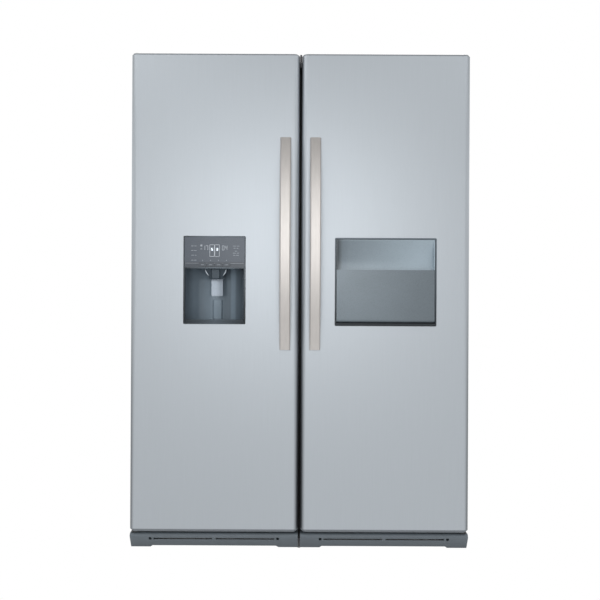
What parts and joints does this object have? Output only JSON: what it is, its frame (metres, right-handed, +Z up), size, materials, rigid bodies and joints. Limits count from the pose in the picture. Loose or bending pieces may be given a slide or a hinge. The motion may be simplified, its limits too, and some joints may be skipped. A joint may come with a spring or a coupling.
{
  "type": "side by side refrigerator",
  "caption": "Twin upright freezer and refrigerator side by side, with an ice dispenser and a home bar flap, bowed handles and hinged doors.",
  "frame": {"origin": "on the floor under the middle of the pair's overall box", "axes": "+Z up, -Y towards the doors, +X to the right seen from the front"},
  "size_m": [1.208, 0.6899, 1.792],
  "materials": {
    "door_steel": "satin",
    "cabinet_paint": "satin",
    "back_steel": "satin",
    "zinc_steel": "satin",
    "hinge_steel": "satin",
    "handle_metal": "satin",
    "cap_plastic": "satin",
    "kick_plastic": "satin",
    "liner_plastic": "satin",
    "inner_plastic": "satin",
    "clear_plastic": "gloss",
    "shelf_glass": "gloss",
    "seal_rubber": "matte",
    "foot_rubber": "matte",
    "foam": "matte",
    "pot_paint": "gloss",
    "coil_aluminium": "satin",
    "dispenser_plastic": "gloss",
    "fascia_plastic": "gloss",
    "key_plastic": "satin",
    "paddle_silver": "satin",
    "chute_plastic": "gloss",
    "bar_frame_plastic": "satin",
    "flap_plastic": "gloss",
    "strip_plastic": "matte",
    "lamp_lens": "gloss"
  },
  "bodies": {
    "cabinets": {"back_panels": "back_steel", "base_pans": "zinc_steel", "cabinet_insulation": "foam", "compressors": "pot_paint", "crisper_lower": "clear_plastic", "crisper_upper": "clear_plastic", "door_hinges": "hinge_steel", "evaporator": "coil_aluminium", "freezer_air_panel": "inner_plastic", "freezer_cabinet_shell": "cabinet_paint", "freezer_drawer_lower": "clear_plastic", "freezer_drawers": "clear_plastic", "freezer_kick_plate": "kick_plastic", "freezer_liner": "liner_plastic", "fridge_air_duct": "inner_plastic", "fridge_cabinet_shell": "cabinet_paint", "fridge_kick_plate": "kick_plastic", "fridge_liner": "liner_plastic", "glass_shelves": "shelf_glass", "hinge_covers": "cap_plastic", "ice_bucket": "clear_plastic", "ice_maker": "inner_plastic", "interior_lamps": "lamp_lens", "joining_plates": "zinc_steel", "joining_strip": "strip_plastic", "machine_covers": "back_steel", "shelf_trims": "inner_plastic"},
    "freezer_door": {"freezer_door_skin": "door_steel", "freezer_door_caps": "cap_plastic", "freezer_door_insulation": "foam", "freezer_door_liner": "liner_plastic", "freezer_door_gasket": "seal_rubber", "freezer_door_handle": "handle_metal", "freezer_door_bins": "clear_plastic", "dispenser_housing": "dispenser_plastic", "dispenser_fascia": "fascia_plastic", "ice_chute": "chute_plastic"},
    "fridge_door": {"fridge_door_skin": "door_steel", "fridge_door_caps": "cap_plastic", "fridge_door_insulation": "foam", "fridge_door_liner": "liner_plastic", "fridge_door_gasket": "seal_rubber", "fridge_door_handle": "handle_metal", "fridge_door_bins": "clear_plastic", "home_bar_frame": "bar_frame_plastic", "home_bar_case": "liner_plastic"},
    "home_bar_flap": {"home_bar_flap": "flap_plastic", "home_bar_flap_liner": "liner_plastic"},
    "paddle": {"dispenser_paddle": "paddle_silver"},
    "drip_tray": {"drip_tray": "dispenser_plastic"},
    "fan": {"freezer_fan": "inner_plastic"},
    "rollers": {"rear_rollers": "foot_rubber"},
    "key_1": {"key_1": "key_plastic"},
    "key_2": {"key_2": "key_plastic"},
    "key_3": {"key_3": "key_plastic"},
    "key_4": {"key_4": "key_plastic"},
    "freezer_foot_left": {"freezer_foot_left": "foot_rubber"},
    "freezer_foot_right": {"freezer_foot_right": "foot_rubber"},
    "fridge_foot_left": {"fridge_foot_left": "foot_rubber"},
    "fridge_foot_right": {"fridge_foot_right": "foot_rubber"}
  },
  "joints": [
    {"name": "freezer_door_hinge", "type": "hinge", "parent": "cabinets", "child": "freezer_door", "pos_m": [-0.588, -0.267, 0.072], "axis": [0, 0, -1], "range_deg": [0, 120]},
    {"name": "fridge_door_hinge", "type": "hinge", "parent": "cabinets", "child": "fridge_door", "pos_m": [0.588, -0.267, 0.072], "axis": [0, 0, 1], "range_deg": [0, 120]},
    {"name": "home_bar_hinge", "type": "hinge", "parent": "fridge_door", "child": "home_bar_flap", "pos_m": [0.304, -0.281, 0.8307], "axis": [1, 0, 0], "range_deg": [0, 90]},
    {"name": "paddle_pivot", "type": "hinge", "parent": "freezer_door", "child": "paddle", "pos_m": [-0.304, -0.219, 0.9778], "axis": [1, 0, 0], "range_deg": [0, 8], "stiffness_Nm_per_rad": 0.2},
    {"name": "drip_tray_slide", "type": "slide", "parent": "freezer_door", "child": "drip_tray", "axis": [0, -1, 0], "range_m": [0, 0.08]},
    {"name": "fan_spin", "type": "hinge", "parent": "cabinets", "child": "fan", "pos_m": [-0.304, 0.22, 1.61], "axis": [0, 1, 0], "continuous": true},
    {"name": "roller_spin", "type": "hinge", "parent": "cabinets", "child": "rollers", "pos_m": [0, 0.285, 0.022], "axis": [1, 0, 0], "continuous": true},
    {"name": "key_1_press", "type": "slide", "parent": "freezer_door", "child": "key_1", "axis": [0, 1, 0], "range_m": [0, 0.0012], "stiffness_N_per_m": 1200},
    {"name": "key_2_press", "type": "slide", "parent": "freezer_door", "child": "key_2", "axis": [0, 1, 0], "range_m": [0, 0.0012], "stiffness_N_per_m": 1200},
    {"name": "key_3_press", "type": "slide", "parent": "freezer_door", "child": "key_3", "axis": [0, 1, 0], "range_m": [0, 0.0012], "stiffness_N_per_m": 1200},
    {"name": "key_4_press", "type": "slide", "parent": "freezer_door", "child": "key_4", "axis": [0, 1, 0], "range_m": [0, 0.0012], "stiffness_N_per_m": 1200},
    {"name": "freezer_foot_left_travel", "type": "slide", "parent": "cabinets", "child": "freezer_foot_left", "axis": [0, 0, -1], "range_m": [0, 0.012]},
    {"name": "freezer_foot_right_travel", "type": "slide", "parent": "cabinets", "child": "freezer_foot_right", "axis": [0, 0, -1], "range_m": [0, 0.012]},
    {"name": "fridge_foot_left_travel", "type": "slide", "parent": "cabinets", "child": "fridge_foot_left", "axis": [0, 0, -1], "range_m": [0, 0.012]},
    {"name": "fridge_foot_right_travel", "type": "slide", "parent": "cabinets", "child": "fridge_foot_right", "axis": [0, 0, -1], "range_m": [0, 0.012]}
  ]
}
